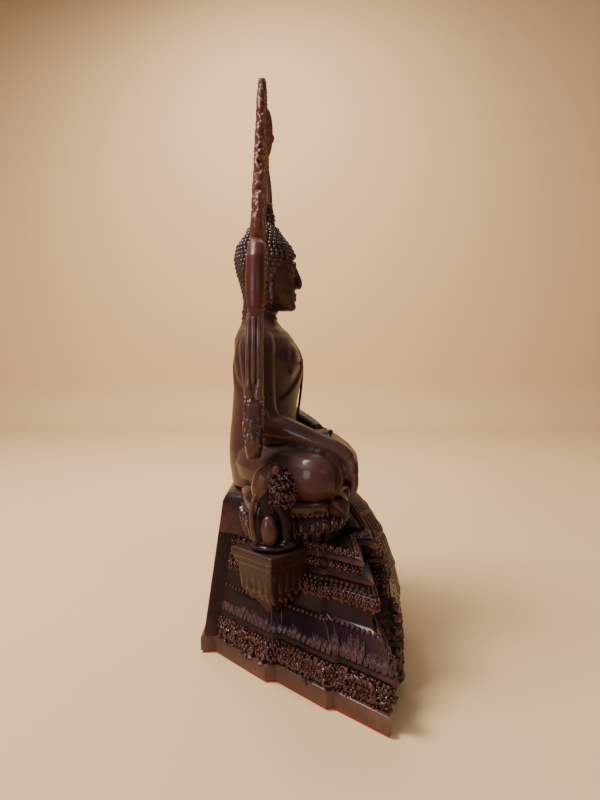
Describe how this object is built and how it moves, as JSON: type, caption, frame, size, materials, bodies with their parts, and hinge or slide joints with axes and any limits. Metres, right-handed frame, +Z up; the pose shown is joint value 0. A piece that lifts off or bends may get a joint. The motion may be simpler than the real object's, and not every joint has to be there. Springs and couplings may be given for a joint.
{
  "type": "seated buddha statue",
  "caption": "Seated Buddha in the earth-touching pose under a flame-edged arch, on a tiered lotus throne with guardian beasts on side brackets, cast in dark glossy resin.",
  "frame": {"origin": "middle of the bounding box at the underside of the felt", "axes": "+Z up, the figure faces -Y, and its right hand is on the -X side"},
  "size_m": [0.204, 0.108, 0.3115],
  "materials": {
    "stained_resin": "gloss",
    "red_felt": "matte"
  },
  "bodies": {
    "root": {"image_and_throne": "stained_resin", "aureole": "stained_resin", "base_felt": "red_felt"}
  },
  "joints": []
}
